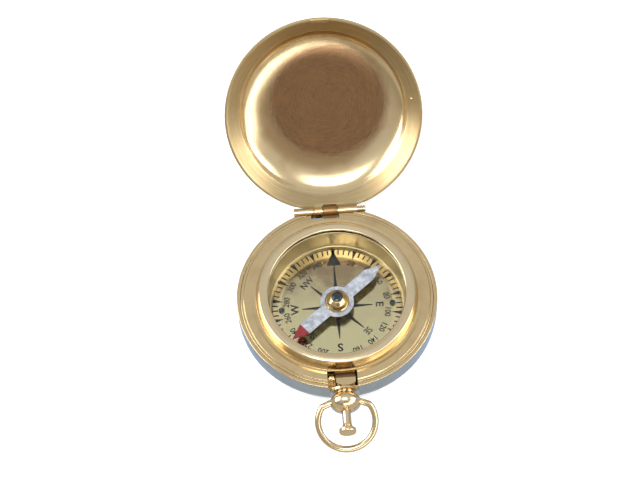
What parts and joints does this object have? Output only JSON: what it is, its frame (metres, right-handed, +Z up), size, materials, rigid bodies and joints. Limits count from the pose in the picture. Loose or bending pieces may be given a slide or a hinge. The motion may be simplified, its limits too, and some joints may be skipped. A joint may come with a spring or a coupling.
{
  "type": "pocket compass",
  "caption": "Push-button hunter-case pocket compass in polished brass, with a sprung lid, degree dial, magnetic needle and bow ring.",
  "frame": {"origin": "centre of the flat base, on the surface it stands on", "axes": "+Z up through the needle pivot, -Y towards the push button and bow, +Y towards the lid hinge, X along the hinge"},
  "size_m": [0.05, 0.099, 0.0443],
  "materials": {
    "case_brass": "polished",
    "rim_brass": "polished, turned",
    "bezel_brass": "polished",
    "wall_brass": "satin",
    "crystal": "clear",
    "dial_brass": "polished",
    "inner_brass": "dull",
    "dark_screw": "dark",
    "inner_steel": "plain",
    "needle_paint": "satin",
    "cap_brass": "polished",
    "jewel": "polished",
    "lid_brass": "polished",
    "hinge_brass": "worn",
    "dark_brass": "oxidised",
    "hinge_pin_brass": "ribbed",
    "catch_brass": "polished",
    "pendant_brass": "polished",
    "bow_brass": "polished"
  },
  "bodies": {
    "case": {"case_body": "case_brass", "rim_flange": "rim_brass", "bezel_ring": "bezel_brass", "capsule_wall": "wall_brass", "glass_crystal": "crystal", "dial_retaining_ring": "wall_brass", "dial_plate": "dial_brass", "dial_pillars": "inner_brass", "dial_screws": "dark_screw", "pivot_post": "inner_steel", "lever_ears": "inner_brass", "lever_pin": "inner_steel", "lock_guide": "inner_brass", "case_knuckles": "hinge_brass", "hinge_leaf": "hinge_brass", "hinge_pin": "hinge_pin_brass", "lid_spring": "inner_steel", "lid_spring_screw": "inner_steel", "catch_shelf": "inner_brass", "pendant_collar": "pendant_brass", "pendant_ball": "pendant_brass", "button_spring": "inner_steel"},
    "needle": {"needle_blade": "needle_paint", "needle_cap": "cap_brass", "needle_jewel": "jewel"},
    "collar": {"lift_collar": "inner_brass"},
    "lever": {"lift_lever": "inner_brass"},
    "lock": {"lock_pin": "cap_brass"},
    "lid": {"lid_shell": "lid_brass", "lid_lip": "rim_brass", "lid_knuckle": "hinge_brass", "lid_kick_tab": "dark_brass"},
    "catch": {"catch_block": "catch_brass"},
    "button": {"button_stem": "pendant_brass", "button_head": "pendant_brass"},
    "bow": {"bow_ring": "bow_brass"}
  },
  "joints": [
    {"name": "lid_hinge", "type": "hinge", "parent": "case", "child": "lid", "pos_m": [0, 0.0248, 0.0089], "axis": [1, 0, 0], "range_deg": [0, 134], "stiffness_Nm_per_rad": 0.003},
    {"name": "needle_spin", "type": "hinge", "parent": "case", "child": "needle", "pos_m": [0, 0, 0.0062], "axis": [0, 0, 1], "continuous": true},
    {"name": "button_slide", "type": "slide", "parent": "case", "child": "button", "axis": [0, 1, 0], "range_m": [0, 0.001], "stiffness_N_per_m": 600, "springref_m": -0.0005, "deforming": ["button_spring"]},
    {"name": "catch_slide", "type": "slide", "parent": "case", "child": "catch", "axis": [0, 1, 0], "range_m": [0, 0.001]},
    {"name": "lock_pin_slide", "type": "slide", "parent": "case", "child": "lock", "axis": [0, 0, -1], "range_m": [0, 0.00081]},
    {"name": "lift_lever_rock", "type": "hinge", "parent": "case", "child": "lever", "pos_m": [-0.00114, -0.00893, 0.0019], "axis": [0.9919, -0.1267, 0], "range_deg": [0, 3.32]},
    {"name": "lift_collar_slide", "type": "slide", "parent": "case", "child": "collar", "axis": [0, 0, 1], "range_m": [0, 0.000529]},
    {"name": "bow_swing", "type": "hinge", "parent": "case", "child": "bow", "pos_m": [0, -0.0282, 0.008], "axis": [-1, 0, 0], "range_deg": [-52, 148]}
  ],
  "couplings": [
    {"joint": "catch_slide", "follows": "button_slide", "ratio": 1},
    {"joint": "lock_pin_slide", "follows": "lid_hinge", "m_per_rad": 0.00034206},
    {"joint": "lift_lever_rock", "follows": "lid_hinge", "ratio": 0.024636},
    {"joint": "lift_collar_slide", "follows": "lid_hinge", "m_per_rad": 0.00022173}
  ]
}
